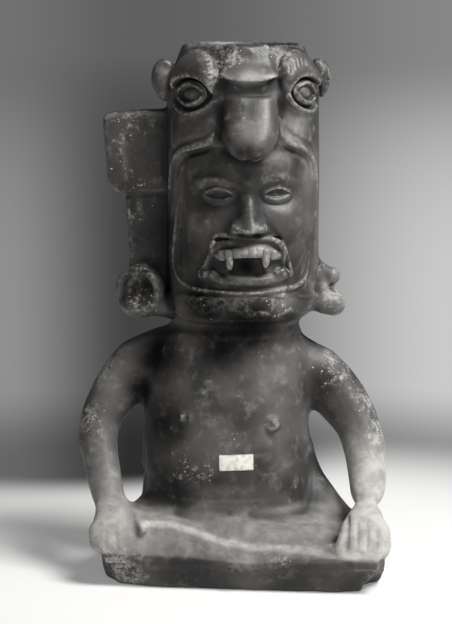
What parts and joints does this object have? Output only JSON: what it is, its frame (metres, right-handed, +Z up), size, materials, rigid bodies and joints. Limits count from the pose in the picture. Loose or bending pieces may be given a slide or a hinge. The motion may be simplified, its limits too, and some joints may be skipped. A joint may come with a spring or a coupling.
{
  "type": "figural vessel",
  "caption": "Seated figure in grey earthenware: a hollow vessel with an open top, a bird helmet over a calm face, a fanged mouth mask, and hands on crossed knees.",
  "frame": {"origin": "on the floor at the flat foot of the seat slab, under the middle of the figure's width", "axes": "+Z up from the foot to the rim, -Y the way the figure faces, +X towards the figure's left hand"},
  "size_m": [0.1837, 0.1283, 0.311],
  "materials": {
    "grey_ware": "matt, smoothed by hand, with pale specks and deposits",
    "burnished_ware": "burnished with a soft sheen, worn matt in places",
    "tooth_ware": "burnished, paler from wear",
    "paper": "aged matt paper"
  },
  "bodies": {
    "root": {"seat_slab": "grey_ware", "torso_shell": "burnished_ware", "neck_ring": "grey_ware", "head_shell": "grey_ware", "right_leg": "burnished_ware", "left_leg": "burnished_ware", "right_arm": "burnished_ware", "right_hand": "burnished_ware", "right_thumb": "burnished_ware", "left_arm": "burnished_ware", "left_hand": "burnished_ware", "left_thumb": "burnished_ware", "right_nipple": "grey_ware", "left_nipple": "grey_ware", "paper_label": "paper", "face_plate": "grey_ware", "face_frame": "burnished_ware", "helmet_jaw": "grey_ware", "beak": "burnished_ware", "brow_ledge": "grey_ware", "right_brow": "grey_ware", "right_bird_eye": "burnished_ware", "right_crest_curl": "grey_ware", "right_lip_band": "burnished_ware", "left_brow": "grey_ware", "left_bird_eye": "burnished_ware", "left_crest_curl": "grey_ware", "left_lip_band": "burnished_ware", "mask_plate": "grey_ware", "mask_lower_lip": "burnished_ware", "mask_upper_lip": "burnished_ware", "tooth_row": "tooth_ware", "right_fang": "tooth_ware", "left_fang": "tooth_ware", "right_ear_panel": "grey_ware", "right_ear_stem": "grey_ware", "right_ear_spool": "grey_ware", "left_ear_stem": "grey_ware", "left_ear_spool": "grey_ware"}
  },
  "joints": []
}
